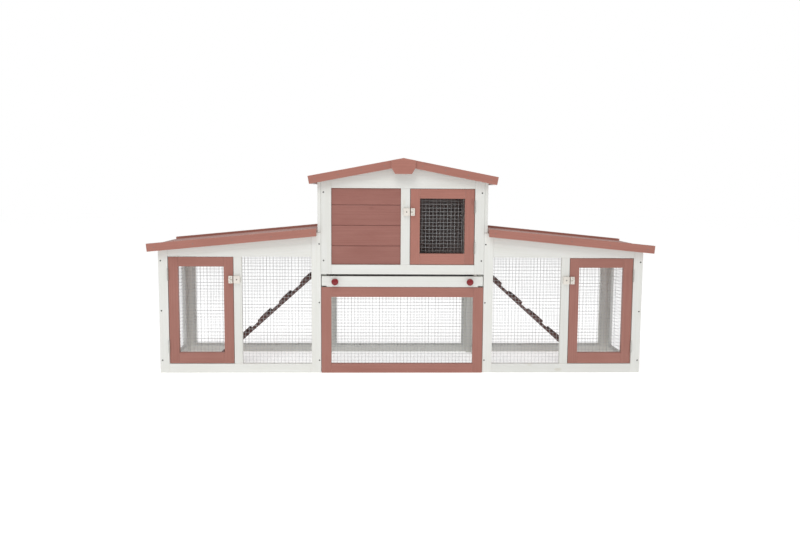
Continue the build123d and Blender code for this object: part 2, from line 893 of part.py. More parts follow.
for side, name in ((-1, "left"), (1, "right")):
    rod_plane = Plane.XZ.offset(-ramp_y1 - ear_gap - ear_t - 2)
    rod_l = ramp_w + 2 * (ear_gap + ear_t + 2)
    with BuildPart() as ramp_board:
        half = ramp_t / 2
        board_xz(
            [
                on_ramp(side, -ramp_head, -half),
                on_ramp(side, -ramp_head, half),
                on_ramp(side, ramp_foot(half), half),
                on_ramp(side, ramp_foot(-half), -half),
            ],
            ramp_y0,
            ramp_y1,
        )
        with BuildSketch(rod_plane):
            with Locations((side * ramp_x, ramp_axis_z)):
                Circle(rod_r + rod_gap)
        extrude(amount=rod_l, mode=Mode.SUBTRACT)
    ramp_board.part.label = f"{name}_ramp_board"
    export_step(ramp_board.part, f"parts/{name}_ramp_board.step")

    with BuildPart() as ramp_cleats:
        for i in range(cleat_count):
            s = cleat_first + i * cleat_pitch
            board_xz(
                [
                    on_ramp(side, s - cleat_l / 2, half),
                    on_ramp(side, s - cleat_l / 2, half + cleat_t - 3),
                    on_ramp(side, s - cleat_l / 2 + 3, half + cleat_t),
                    on_ramp(side, s + cleat_l / 2 - 3, half + cleat_t),
                    on_ramp(side, s + cleat_l / 2, half + cleat_t - 3),
                    on_ramp(side, s + cleat_l / 2, half),
                ],
                ramp_y0,
                ramp_y1,
            )
    ramp_cleats.part.label = f"{name}_ramp_cleats"
    export_step(ramp_cleats.part, f"parts/{name}_ramp_cleats.step")

    with BuildPart() as ramp_rod:
        with BuildSketch(rod_plane):
            with Locations((side * ramp_x, ramp_axis_z)):
                Circle(rod_r)
        extrude(amount=rod_l)
    ramp_rod.part.label = f"{name}_ramp_rod"
    export_step(ramp_rod.part, f"parts/{name}_ramp_rod.step")

with BuildPart() as ramp_ears:
    for side in (-1, 1):
        for y0 in (ramp_y0 - ear_gap - ear_t, ramp_y1 + ear_gap):
            with BuildSketch(Plane.XZ.offset(-y0 - ear_t)) as ear:
                with Locations((side * ramp_x, ramp_axis_z)):
                    Circle(ear_r)
                with Locations((side * (wall_out + ramp_x) / 2, ramp_axis_z)):
                    Rectangle(ramp_axis_out, 2 * ear_r)
                with Locations((side * ramp_x, ramp_axis_z)):
                    Circle(rod_r + rod_gap, mode=Mode.SUBTRACT)
            extrude(amount=ear_t)
            foot_y = y0 - 12 if y0 < doorway_y else y0 + ear_t
            stick(
                side * wall_out,
                side * (wall_out + 2),
                foot_y,
                foot_y + 12,
                ramp_axis_z - ear_r,
                ramp_axis_z + ear_r,
            )
ramp_ears.part.label = "ramp_ears"
export_step(ramp_ears.part, "parts/ramp_ears.step")

# Dark screw heads in the front stiles
with BuildPart() as frame_screws:
    screw_points = []
    for side in (-1, 1):
        end_top = run_opening_top - screw_inset
        for z in (screw_foot, (screw_foot + end_top) / 2, end_top):
            screw_points.append((side * (run_out - end_frame_t / 2 - screw_r), z))
        inner_top = run_top(wall_in) - fascia_h - 2 * screw_inset
        for z in (screw_foot, (screw_foot + inner_top) / 2, inner_top):
            screw_points.append((side * (wall_in + side_wall_t / 2), z))
        for z in (house_opening_bottom + screw_inset, house_opening_top - screw_inset):
            screw_points.append((side * (wall_in - post_w / 2), z))
    with BuildSketch(Plane.XZ.offset(-y_front)):
        with Locations(*screw_points):
            Circle(screw_r)
    extrude(amount=screw_proud)
frame_screws.part.label = "frame_screws"
export_step(frame_screws.part, "parts/frame_screws.step")
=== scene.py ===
"""Garden rabbit hutch: a raised sleeping house between two mesh runs.

The frames and boards are painted softwood, and the open sides are welded wire.
"""

import json
import math
import random

import bpy
from mathutils import Matrix, Vector
from mathutils.bvhtree import BVHTree

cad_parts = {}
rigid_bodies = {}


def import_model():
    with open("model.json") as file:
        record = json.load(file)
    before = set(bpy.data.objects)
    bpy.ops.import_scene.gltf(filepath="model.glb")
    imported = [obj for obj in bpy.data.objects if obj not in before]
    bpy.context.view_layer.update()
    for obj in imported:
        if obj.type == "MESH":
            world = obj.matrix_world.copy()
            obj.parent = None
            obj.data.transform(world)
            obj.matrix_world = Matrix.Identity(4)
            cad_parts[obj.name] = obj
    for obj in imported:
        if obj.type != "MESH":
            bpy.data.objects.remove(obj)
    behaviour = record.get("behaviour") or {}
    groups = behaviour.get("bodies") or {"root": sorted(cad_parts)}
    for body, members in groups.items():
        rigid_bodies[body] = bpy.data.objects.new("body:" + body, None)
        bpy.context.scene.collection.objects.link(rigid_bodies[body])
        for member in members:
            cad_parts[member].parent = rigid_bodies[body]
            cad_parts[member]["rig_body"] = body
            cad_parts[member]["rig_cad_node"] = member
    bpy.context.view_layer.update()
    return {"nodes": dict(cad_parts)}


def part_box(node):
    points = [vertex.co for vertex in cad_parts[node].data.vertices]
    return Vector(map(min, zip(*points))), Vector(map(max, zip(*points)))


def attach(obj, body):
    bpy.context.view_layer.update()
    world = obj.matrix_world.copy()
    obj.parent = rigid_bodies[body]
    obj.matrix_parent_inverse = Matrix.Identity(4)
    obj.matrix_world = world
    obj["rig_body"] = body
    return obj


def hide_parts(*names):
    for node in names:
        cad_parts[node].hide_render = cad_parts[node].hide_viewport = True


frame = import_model()

# ----------------------------------------------------------------------------------------
# Corner posts
# Four square softwood uprights that carry the house. They are planed, cut square, brushed
# with satin white paint, and screwed to the side walls and to the front and back frames.
# ----------------------------------------------------------------------------------------
MM = 0.001
sawyer = random.Random(11)


def linear(code):
    """An sRGB hex colour as linear values."""
    parts = [int(code[i : i + 2], 16) / 255 for i in (0, 2, 4)]
    return (*[p / 12.92 if p <= 0.04045 else ((p + 0.055) / 1.055) ** 2.4 for p in parts], 1.0)


def add(tree, kind, sockets, **settings):
    """One shader node. sockets gives each input, by name or number, a value or a node's output."""
    node = tree.nodes.new("ShaderNode" + kind)
    for key, value in settings.items():
        setattr(node, key, value)
    for key, value in sockets.items():
        if isinstance(value, bpy.types.NodeSocket):
            tree.links.new(value, node.inputs[key])
        else:
            node.inputs[key].default_value = value
    return node


RING_WAVE = 0.314  # m, a ring wave's period at scale 1


def painted_pine(name, paint, thin, knot, arris, roughness=0.46, grain_show=0.35, knot_show=0.3):
    """Brushed satin paint on planed pine: the grain shows as fine long ridges and a thinner coat
    over the late wood, and knots ghost through. The arrises take their own colour in streaks:
    lighter on most boards, for wear by rubbing and a painted highlight where edges catch the
    light, and darker in the V joints of the brown boards, as painted shade.
    Sizes are in metres, along the board and then across it."""
    material = bpy.data.materials.new(name)
    material.use_nodes = True
    tree = material.node_tree
    shader = tree.nodes["Principled BSDF"]
    board = add(tree, "Attribute", {}, attribute_name="board").outputs["Vector"]
    # Fibres 4 mm across and 220 mm long, drawn a little coarser than pine's own, to show
    fibre_at = add(tree, "Mapping", {"Vector": board, "Scale": (1 / 0.22, 1 / 0.004, 1 / 0.004)})
    fibre = add(
        tree,
        "TexNoise",
        {"Vector": fibre_at.outputs[0], "Scale": 1.0, "Detail": 5.0, "Roughness": 0.66},
    )
    # Growth rings 5 mm apart, drawn out 30 times along the board
    ring_at = add(tree, "Mapping", {"Vector": board, "Scale": (1 / 30, 1.0, 1.0)})
    ring = add(
        tree,
        "TexWave",
        {
            "Vector": ring_at.outputs[0],
            "Scale": RING_WAVE / 0.005,
            "Distortion": 6.0,
            "Detail": 2.0,
            "Detail Scale": 0.9,
        },
        wave_type="RINGS",
        rings_direction="X",
    )
    late = add(
        tree,
        "MapRange",
        {"Value": ring.outputs["Fac"], "From Min": 0.45, "From Max": 0.95},
        interpolation_type="SMOOTHSTEP",
    )
    # Knots about 14 mm by 8 mm, one or two to a board
    knot_at = add(tree, "Mapping", {"Vector": board, "Scale": (1 / 0.13, 1 / 0.055, 1 / 0.055)})
    cell = add(tree, "TexVoronoi", {"Vector": knot_at.outputs[0], "Scale": 1.0})
    ring_dark = add(
        tree,
        "MapRange",
        {"Value": cell.outputs["Distance"], "From Min": 0.17, "From Max": 0.07},
        interpolation_type="SMOOTHSTEP",
    )
    chosen = add(tree, "Math", {0: cell.outputs["Color"], 1: 0.62}, operation="GREATER_THAN")
    knots = add(
        tree, "Math", {0: ring_dark.outputs[0], 1: chosen.outputs[0]}, operation="MULTIPLY"
    )
    # Slow cloudiness of a hand-brushed coat, 70 mm wide
    cloud_at = add(tree, "Mapping", {"Vector": board, "Scale": (1 / 0.16, 1 / 0.05, 1 / 0.05)})
    cloud = add(tree, "TexNoise", {"Vector": cloud_at.outputs[0], "Scale": 1.0, "Detail": 2.0})
    # Bristle marks 1 mm apart, 90 mm long
    bristle_at = add(tree, "Mapping", {"Vector": board, "Scale": (1 / 0.09, 1 / 0.001, 1 / 0.001)})
    bristle = add(
        tree, "TexNoise", {"Vector": bristle_at.outputs[0], "Scale": 1.0, "Detail": 1.0}
    )
    thinness = add(
        tree,
        "Math",
        {0: fibre.outputs["Fac"], 1: cloud.outputs["Fac"]},
        operation="ADD",
    )
    thinness = add(
        tree,
        "Math",
        {0: bristle.outputs["Fac"], 1: 0.45, 2: thinness.outputs[0]},
        operation="MULTIPLY_ADD",
    )
    thinness = add(
        tree,
        "MapRange",
        {"Value": thinness.outputs[0], "From Min": 1.0, "From Max": 1.5, "To Max": grain_show},
    )
    coat = add(
        tree,
        "Mix",
        {0: thinness.outputs[0], 6: linear(paint), 7: linear(thin)},
        data_type="RGBA",
    )
    over_late = add(
        tree, "Math", {0: late.outputs[0], 1: grain_show * 0.45}, operation="MULTIPLY"
    )
    coat = add(
        tree,
        "Mix",
        {0: over_late.outputs[0], 6: coat.outputs[2], 7: linear(thin)},
        data_type="RGBA",
    )
    ghost = add(tree, "Math", {0: knots.outputs[0], 1: knot_show}, operation="MULTIPLY")
    coat = add(
        tree, "Mix", {0: ghost.outputs[0], 6: coat.outputs[2], 7: linear(knot)}, data_type="RGBA"
    )
    tone = add(tree, "Attribute", {}, attribute_name="tone").outputs["Fac"]
    coat = add(tree, "HueSaturation", {"Value": tone, "Color": coat.outputs[2]})
    # Arris colour in streaks on arris faces: wear, painted highlight, painted shade in V joints
    arris_face = add(tree, "Attribute", {}, attribute_name="arris").outputs["Fac"]
    arris_streaks = add(
        tree,
        "MapRange",
        {"Value": fibre.outputs["Fac"], "From Min": 0.4, "From Max": 0.62, "To Max": 0.75},
    )
    arris_wear_and_painted_light = add(tree, "Math", {0: arris_face, 1: arris_streaks.outputs[0]}, operation="MULTIPLY")
    coat = add(
        tree, "Mix", {0: arris_wear_and_painted_light.outputs[0], 6: coat.outputs[0], 7: linear(arris)}, data_type="RGBA"
    )
    tree.links.new(coat.outputs[2], shader.inputs["Base Color"])
    gloss = add(
        tree,
        "MapRange",
        {
            "Value": thinness.outputs[0],
            "From Max": grain_show,
            "To Min": roughness - 0.05,
            "To Max": roughness + 0.12,
        },
    )
    tree.links.new(gloss.outputs[0], shader.inputs["Roughness"])
    # Ridges stand about 0.15 mm high
    height = add(
        tree,
        "Math",
        {0: late.outputs[0], 1: 0.5, 2: fibre.outputs["Fac"]},
        operation="MULTIPLY_ADD",
    )
    height = add(
        tree,
        "Math",
        {0: bristle.outputs["Fac"], 1: 0.35, 2: height.outputs[0]},
        operation="MULTIPLY_ADD",
    )
    bump = add(
        tree,
        "Bump",
        {"Height": height.outputs[0], "Strength": 0.45, "Distance": 0.5 * MM},
    )
    tree.links.new(bump.outputs[0], shader.inputs["Normal"])
    return material


def alone(piece):
    """Makes one object the only selected and the active one."""
    bpy.ops.object.select_all(action="DESELECT")
    bpy.context.view_layer.objects.active = piece
    piece.select_set(True)


def merged_copy(node):
    """A copy of a CAD solid, alone in the selection, its loose triangles merged to whole faces."""
    piece = frame["nodes"][node].copy()
    piece.data = piece.data.copy()
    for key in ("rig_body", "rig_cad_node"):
        del piece[key]
    piece.parent = None
    piece.data.materials.clear()
    bpy.context.scene.collection.objects.link(piece)
    alone(piece)
    bpy.ops.mesh.customdata_custom_splitnormals_clear()
    bpy.ops.object.mode_set(mode="EDIT")
    bpy.ops.mesh.select_all(action="SELECT")
    bpy.ops.mesh.remove_doubles(threshold=0.01 * MM)
    bpy.ops.mesh.dissolve_limited(angle_limit=math.radians(0.5))
    bpy.ops.object.mode_set(mode="OBJECT")
    return piece


def round_edges(piece, width, steps):
    """Bevels every edge sharper than 30 degrees and applies it."""
    alone(piece)
    bevel = piece.modifiers.new("arris", "BEVEL")
    bevel.width = width
    bevel.segments = steps
    bevel.limit_method = "ANGLE"
    bevel.angle_limit = math.radians(30)
    bevel.use_clamp_overlap = True
    bpy.ops.object.modifier_apply(modifier=bevel.name)


def join(pieces, name):
    """One object, with its own name, out of several."""
    bpy.ops.object.select_all(action="DESELECT")
    for piece in pieces:
        piece.select_set(True)
    bpy.context.view_layer.objects.active = pieces[0]
    if len(pieces) > 1:
        bpy.ops.object.join()
    pieces[0].name = pieces[0].data.name = name
    return pieces[0]


LOG = ((-9, 9), (0.03, 0.08), (-0.05, 0.05))  # m, along the log and off its heart
SHADE = 0.035  # how far one board's paint differs from the next one's


def lay_grain(stick, width):
    """Gives a stick its grain direction, its place in the log, its shade and its arris faces,
    where the paint shows wear and painted light.
    """
    mesh = stick.data
    ends = [[mesh.vertices[i].co for i in edge.vertices] for edge in mesh.edges]
    a, b = max(ends, key=lambda pair: (pair[1] - pair[0]).length)
    along = (b - a).normalized()
    if max(along, key=abs) < 0:
        along = -along
    across = Vector((0, 1, 0)) if abs(along.y) < 0.7 else Vector((0, 0, 1))
    across = (across - along * across.dot(along)).normalized()
    third = along.cross(across)
    middle = sum((v.co for v in mesh.vertices), Vector()) / len(mesh.vertices)
    log = Vector([sawyer.uniform(*reach) for reach in LOG])
    shade = sawyer.uniform(1 - SHADE, 1 + SHADE)
    boards, shades, arris_flags = [], [shade] * len(mesh.vertices), []
    for vertex in mesh.vertices:
        offset = vertex.co - middle
        boards.extend(Vector([offset.dot(d) for d in (along, across, third)]) + log)
    # A face no wider than the bevel is an arris
    for face in mesh.polygons:
        loop = [mesh.vertices[i].co for i in face.vertices]
        longest = max((p - q).length for p, q in zip(loop, loop[1:] + loop[:1]))
        arris_flags.append(float(face.area < longest * width * 1.2))
    mesh.attributes.new("board", "FLOAT_VECTOR", "POINT").data.foreach_set("vector", boards)
    mesh.attributes.new("tone", "FLOAT", "POINT").data.foreach_set("value", shades)
    mesh.attributes.new("arris", "FLOAT", "FACE").data.foreach_set("value", arris_flags)


def timber(node, body, paint, arris=0.7, steps=2):
    """The CAD node's sticks as planed timber, each with its own grain and softened arrises.
    arris is in mm. The sticks are put in order of place, so each keeps its random values."""
    merged_copy(node)
    bpy.ops.mesh.separate(type="LOOSE")
    sticks = sorted(
        bpy.context.selected_objects,
        key=lambda o: [round(c, 4) for corner in (0, 6) for c in o.bound_box[corner]],
    )
    for stick in sticks:
        round_edges(stick, arris * MM, steps)
        lay_grain(stick, arris * MM)
        stick.data.materials.append(paint)
    piece = join(sticks, node + "_timber")
    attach(piece, body)
    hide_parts(node)
    return piece


# Satin white over a pale primer: near neutral, a little warmer where the coat is thin
white_paint = painted_pine(
    "white_painted_pine", paint="E5E6E2", thin="D9D9D0", knot="C6BCA2", arris="EAE9E3"
)
timber("corner_posts", "hutch", white_paint)

# ----------------------------------------------------------------------------------------
# Side walls
# Wide white boards above the floor with a doorway to each run, and an open white frame below
# it. They are nailed to the outer faces of the corner posts.
# ----------------------------------------------------------------------------------------
for side in ("left", "right"):
    timber(f"{side}_side_wall", "hutch", white_paint, arris=1.0)

# ----------------------------------------------------------------------------------------
# Back of the house
# One tall white frame over bevelled brown boards. The boards are pine, painted before they
# are pushed up edge to edge. Each joint is a V, and its faces are painted a little darker:
# painted shade in the groove.
# ----------------------------------------------------------------------------------------
V_JOINT = 2.2  # mm, each edge of a board
# One coat of red-brown: duller than the frames, with the grain plain to see, and darker in the V
# joints as painted shade
plank_paint = painted_pine(
    "brown_painted_boards",
    paint="9C685E",
    thin="8E5A50",
    knot="7A483E",
    arris="935F55",
    roughness=0.5,
    grain_show=0.6,
    knot_show=0.35,
)
# A matt warm grey that the grain shows through
grey_undercoat = painted_pine(
    "grey_undercoated_pine",
    paint="978D8B",
    thin="857B78",
    knot="5F5552",
    arris="A39A97",
    roughness=0.6,
    grain_show=0.6,
    knot_show=0.4,
)
timber("house_back_frame", "hutch", white_paint)
back_boards = timber(
    "house_back_planks", "hutch", plank_paint, arris=V_JOINT, steps=1
)
# The face inside the house has no more than the undercoat
back_boards.data.materials.append(grey_undercoat)
for face in back_boards.data.polygons:
    face.material_index = int(face.normal.y < -0.5)

# ----------------------------------------------------------------------------------------
# Front of the house
# White stiles, a bottom rail, a middle stile and a gable board that follows the roof, with
# the same bevelled brown boards filling the opening beside the door, set back 6 mm.
# ----------------------------------------------------------------------------------------
timber("house_front_frame", "hutch", white_paint)
timber("house_front_planks", "hutch", plank_paint, arris=V_JOINT, steps=1)

# ----------------------------------------------------------------------------------------
# Low panel and tray runners
# A brown butt-jointed frame closes the space below the tray, and two white battens between
# the posts carry the pan.
# ----------------------------------------------------------------------------------------
# Red-brown satin: an even coat with a soft sheen, paler on the arrises, for wear by rubbing and a
# painted highlight
brown_paint = painted_pine(
    "brown_painted_pine",
    paint="A57064",
    thin="966256",
    knot="7E4F45",
    arris="B98A7F",
    roughness=0.42,
    grain_show=0.5,
    knot_show=0.3,
)
timber("under_front_frame", "hutch", brown_paint)
timber("tray_runners", "hutch", white_paint)

# ----------------------------------------------------------------------------------------
# Run frames
# Four-sided white frames at the front, back and outer end of each run. The head board at the
# front is deeper towards the house and follows the slope of the roof.
# ----------------------------------------------------------------------------------------
for side in ("left", "right"):
    for face in ("front", "back", "end"):
        timber(f"{side}_run_{face}_frame", "hutch", white_paint)

# ----------------------------------------------------------------------------------------
# Roofs
# Brown boards laid along the ridge, closed by square-edged fascias at the front, back and
# eaves, and a chamfered plate over each mitre at the ridge. All are softwood in brown paint.
# ----------------------------------------------------------------------------------------
# The same red-brown, glossier, and a little lighter as painted light: the roofs' tops and
# edges catch more light from above. The house door takes it too
lit_brown_coat = painted_pine(
    "brown_pine_painted_lit",
    paint="AD7467",
    thin="9B6558",
    knot="7E4F45",
    arris="C39A8E",
    roughness=0.3,
    grain_show=0.5,
    knot_show=0.3,
)
for roof in ("left_run", "right_run"):
    timber(f"{roof}_roof_boards", "hutch", lit_brown_coat, arris=1.6)
    timber(f"{roof}_roof_fascias", "hutch", lit_brown_coat, arris=1.0)
for roof in ("house_roof_boards_left", "house_roof_boards_right"):
    timber(roof, "hutch", lit_brown_coat, arris=1.6)
timber("house_roof_fascias", "hutch", lit_brown_coat, arris=1.0)
timber("gable_blocks", "hutch", lit_brown_coat, arris=1.2, steps=3)

# ----------------------------------------------------------------------------------------
# Nails
# Round-headed zinc-plated nails gone dull, 4 mm across, driven through the fascias into the
# board ends, and through the roof boards into the frames. Their heads stand 0.4 mm proud.
# ----------------------------------------------------------------------------------------


def metal(name, colour, dark, roughness, patch, bump=0.05):
    """Coated steel: patches of slightly different grey, and a surface that is not quite even.
    patch is the size of one of them."""
    material = bpy.data.materials.new(name)
    material.use_nodes = True
    tree = material.node_tree
    shader = tree.nodes["Principled BSDF"]
    place = add(tree, "TexCoord", {}).outputs["Object"]
    bloom = add(
        tree, "TexNoise", {"Vector": place, "Scale": 1 / patch, "Detail": 4.0, "Roughness": 0.65}
    )
    spangle = add(tree, "TexVoronoi", {"Vector": place, "Scale": 1.6 / patch})
    both = add(
        tree,
        "Mix",
        {0: 0.4, 2: bloom.outputs["Fac"], 3: spangle.outputs["Color"]},
        data_type="FLOAT",
    )
    grey = add(
        tree,
        "Mix",
        {0: both.outputs[0], 6: linear(colour), 7: linear(dark)},
        data_type="RGBA",
    )
    tree.links.new(grey.outputs[2], shader.inputs["Base Color"])
    shader.inputs["Metallic"].default_value = 1.0
    dull = add(
        tree,
        "MapRange",
        {"Value": both.outputs[0], "To Min": roughness - 0.08, "To Max": roughness + 0.12},
    )
    tree.links.new(dull.outputs[0], shader.inputs["Roughness"])
    uneven = add(
        tree,
        "Bump",
        {"Height": bloom.outputs["Fac"], "Strength": bump, "Distance": 0.3 * MM},
    )
    tree.links.new(uneven.outputs[0], shader.inputs["Normal"])
    return material


def turned(profile, sides, name):
    """A solid of revolution on Z from (radius, height) pairs in mm, extruded ring by ring."""
    bpy.ops.object.select_all(action="DESELECT")
    (radius, height), *rest = profile
    bpy.ops.mesh.primitive_circle_add(
        vertices=sides, radius=radius * MM, fill_type="NGON", location=(0, 0, height * MM)
    )
    piece = bpy.context.object
    bpy.ops.object.transform_apply(location=True, rotation=True, scale=True)
    bpy.ops.object.mode_set(mode="EDIT")
    bpy.ops.mesh.select_all(action="SELECT")
    for wide, high in rest:
        bpy.ops.mesh.extrude_region_move(
            TRANSFORM_OT_translate={"value": (0, 0, (high - height) * MM)}
        )
        bpy.ops.transform.resize(
            value=(wide / radius, wide / radius, 1), center_override=(0, 0, high * MM)
        )
        radius, height = wide, high
    bpy.ops.mesh.select_all(action="SELECT")
    bpy.ops.mesh.normals_make_consistent(inside=False)
    bpy.ops.object.mode_set(mode="OBJECT")
    bpy.ops.object.shade_smooth_by_angle(angle=math.radians(40))
    piece.name = name
    return piece


def facing(point, outward):
    """The placement that puts a pattern at a point with its Z axis outward."""
    turn = Vector(outward).to_track_quat("Z", "Y").to_matrix().to_4x4()
    return Matrix.Translation(point) @ turn


def copies(pattern, placements, name):
    """A copy of the pattern at each placement, joined. The pattern itself goes."""
    made = []
    for placement in placements:
        one = pattern.copy()
        one.data = pattern.data.copy()
        one.data.transform(placement)
        bpy.context.scene.collection.objects.link(one)
        made.append(one)
    bpy.data.objects.remove(pattern)
    return join(made, name)


def surface(node, start, direction):
    """Where a line from start meets a CAD node, and the way its face points there."""
    solid = frame["nodes"][node].data
    tree = BVHTree.FromPolygons(
        [v.co for v in solid.vertices], [face.vertices for face in solid.polygons]
    )
    point, normal, _, _ = tree.ray_cast(Vector(start), Vector(direction))
    if point is None:
        raise ValueError(f"no face of {node} on the line from {start}")
    return point, normal


def nail_row(first, pitch, count):
    """Distances of a row of nails from the middle of the hutch, in metres."""
    return [first + pitch * i for i in range(count)]


# Grey zinc that has lost its shine out of doors
zinc_nail = metal("dull_zinc_nails", "A39A94", "7D746F", 0.5, 3 * MM)
DOWN, TO_BACK, TO_FRONT = (0, 0, -1), (0, 1, 0), (0, -1, 0)
ABOVE_ROOFS = 0.9  # m
CLEAR_OF_ROOFS = 0.3  # m, before and behind every fascia
OVER_FRAMES = (-0.206, 0.214)  # m, above the front and back frames
OVER_FASCIAS = 0.235  # m, inside the thickness of the front and back fascias
FASCIA_NAIL_DROP = 17 * MM  # below the fascia's top edge
RUN_BOARD_NAILS, HOUSE_BOARD_NAILS = nail_row(0.364, 0.082, 8), nail_row(0.022, 0.046, 8)
RUN_FASCIA_NAILS, HOUSE_FASCIA_NAILS = nail_row(0.37, 0.155, 5), nail_row(0.075, 0.092, 4)
nail_places = []
for side, name in ((-1, "left"), (1, "right")):
    for node, xs in (
        (f"{name}_run_roof_boards", RUN_BOARD_NAILS),
        (f"house_roof_boards_{name}", HOUSE_BOARD_NAILS),
    ):
        for x in xs:
            for y in OVER_FRAMES:
                nail_places.append(surface(node, (side * x, y, ABOVE_ROOFS), DOWN))
    for end, direction in ((-1, TO_BACK), (1, TO_FRONT)):
        for node, xs in (
            (f"{name}_run_roof_fascias", RUN_FASCIA_NAILS),
            ("house_roof_fascias", HOUSE_FASCIA_NAILS),
        ):
            for x in xs:
                top, _ = surface(node, (side * x, end * OVER_FASCIAS, ABOVE_ROOFS), DOWN)
                start = (side * x, end * CLEAR_OF_ROOFS, top.z - FASCIA_NAIL_DROP)
                nail_places.append(surface(node, start, direction))
nail_head = turned([(2.0, -0.5), (2.0, 0.15), (1.7, 0.35), (0.9, 0.45)], 10, "nail_head")
nails = copies(nail_head, [facing(*place) for place in nail_places], "roof_nails")
nails.data.materials.append(zinc_nail)
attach(nails, "hutch")

# ----------------------------------------------------------------------------------------
# Welded wire panels
# Galvanised 1.1 mm wire on a pitch of about 14 mm, upright wires against the frame and cross
# wires welded over them, with a bead of zinc at each weld. Staples hold the edges to a frame.
# ----------------------------------------------------------------------------------------
WIRE_R = 0.55 * MM
PITCH = 14.3 * MM
WELD_SINK = 0.15 * MM  # the cross wires bite into the uprights
BEAD_R = 0.75 * MM
STAPLE = (8 * MM, 1.1 * MM, 0.7 * MM)  # crown's length, width and thickness
STAPLE_LIFT = 0.6 * MM  # crown's middle above the wire's
STAPLE_DROP = 0.9 * MM  # how far the legs' ends turn down
STAPLE_OUT = 1.2 * MM  # from the frame's face
STAPLE_IN = 6 * MM  # from the panel's edge
STAPLE_EVERY = 6  # wires
# Bright grey with an orange-peel surface, and zinc plate that is smoother and darker
galvanised_wire = metal("galvanised_wire", "D9DBDC", "BCBFC1", 0.5, 6 * MM, bump=0.12)
zinc_staple = metal("zinc_plated_staples", "BDBFC0", "989A9B", 0.35, 3 * MM)


def repeat(piece, count, step):
    """The piece again and again, a step apart, applied."""
    alone(piece)
    row = piece.modifiers.new("row", "ARRAY")
    row.count = count
    row.use_relative_offset = False
    row.use_constant_offset = True
    row.constant_offset_displace = step
    bpy.ops.object.modifier_apply(modifier=row.name)


def wire(middle, length, along):
    """One straight six-sided wire with softened ends."""
    bpy.ops.object.select_all(action="DESELECT")
    turn = Vector(along).to_track_quat("Z", "Y").to_euler()
    bpy.ops.mesh.primitive_cylinder_add(
        vertices=6, radius=WIRE_R, depth=length, location=middle, rotation=turn
    )
    piece = bpy.context.object
    bpy.ops.object.transform_apply(location=True, rotation=True, scale=True)
    bpy.ops.object.mode_set(mode="EDIT")
    bpy.ops.mesh.select_all(action="SELECT")
    bpy.ops.mesh.bevel(offset=0.12 * MM, segments=1, affect="VERTICES")
    bpy.ops.object.mode_set(mode="OBJECT")
    return piece


def spread(low, high):
    """How many wires fill a width at close to the real pitch, the first one's place, the step."""
    count = round((high - low) / PITCH)
    step = (high - low) / count
    return count, low + step / 2, step


def staple_pattern(name):
    """A U of flat wire across one mesh wire: a crown with softened shoulders and two short legs."""
    bpy.ops.object.select_all(action="DESELECT")
    bpy.ops.mesh.primitive_cube_add(size=1, location=(0, 0, STAPLE_LIFT))
    piece = bpy.context.object
    piece.scale = STAPLE
    bpy.ops.object.transform_apply(location=True, rotation=True, scale=True)
    bpy.ops.object.mode_set(mode="EDIT")
    bpy.ops.mesh.select_all(action="SELECT")
    bpy.ops.mesh.subdivide(number_cuts=1)
    bpy.ops.object.mode_set(mode="OBJECT")
    for vertex in piece.data.vertices:
        vertex.co.z -= STAPLE_DROP * (abs(vertex.co.x) / (STAPLE[0] / 2)) ** 2
    round_edges(piece, 0.25 * MM, 1)
    piece.name = name
    return piece


def welded_panel(node, body, normal):
    """A wire panel in place of a CAD sheet. normal points from the frame's face into the hutch."""
    low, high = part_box(node)
    normal = Vector(normal)
    if normal.y:
        cross, start, end = Vector((1, 0, 0)), low.x, high.x
        base = Vector((0, low.y if normal.y > 0 else high.y, 0))
    else:
        cross, start, end = Vector((0, 1, 0)), low.y, high.y
        base = Vector((low.x if normal.x > 0 else high.x, 0, 0))
    up = Vector((0, 0, 1))
    columns, first_c, step_c = spread(start, end)
    rows, first_r, step_r = spread(low.z, high.z)
    near = base + normal * WIRE_R
    far = base + normal * (3 * WIRE_R - WELD_SINK)
    upright = wire(near + cross * first_c + up * (low.z + high.z) / 2, high.z - low.z, up)
    repeat(upright, columns, cross * step_c)
    crosswise = wire(far + cross * (start + end) / 2 + up * first_r, end - start, cross)
    repeat(crosswise, rows, up * step_r)
    bpy.ops.object.select_all(action="DESELECT")
    bpy.ops.mesh.primitive_ico_sphere_add(
        subdivisions=1,
        radius=BEAD_R,
        location=(near + far) / 2 + cross * first_c + up * first_r,
    )
    bead = bpy.context.object
    bpy.ops.object.transform_apply(location=True, rotation=True, scale=True)
    repeat(bead, columns, cross * step_c)
    repeat(bead, rows, up * step_r)
    panel = join([upright, crosswise, bead], node.replace("_mesh", "_wire"))
    panel.data.materials.append(galvanised_wire)
    alone(panel)
    bpy.ops.object.shade_smooth_by_angle(angle=math.radians(65))
    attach(panel, body)
    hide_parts(node)

    # The staples sit in the strip where the panel lies on the frame
    marks = []
    for i in range(2, columns - 1, STAPLE_EVERY):
        for z in (low.z + STAPLE_IN, high.z - STAPLE_IN):
            marks.append((cross * (first_c + step_c * i) + up * z, cross))
    for i in range(3, rows - 1, STAPLE_EVERY):
        for c in (start + STAPLE_IN, end - STAPLE_IN):
            marks.append((cross * c + up * (first_r + step_r * i), up))
    placements = []
    for place, lie in marks:
        turn = Matrix((lie, normal.cross(lie), normal)).transposed().to_4x4()
        placements.append(Matrix.Translation(base + place + normal * STAPLE_OUT) @ turn)
    staples = copies(staple_pattern("staple"), placements, panel.name.replace("_wire", "_staples"))
    staples.data.materials.append(zinc_staple)
    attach(staples, body)


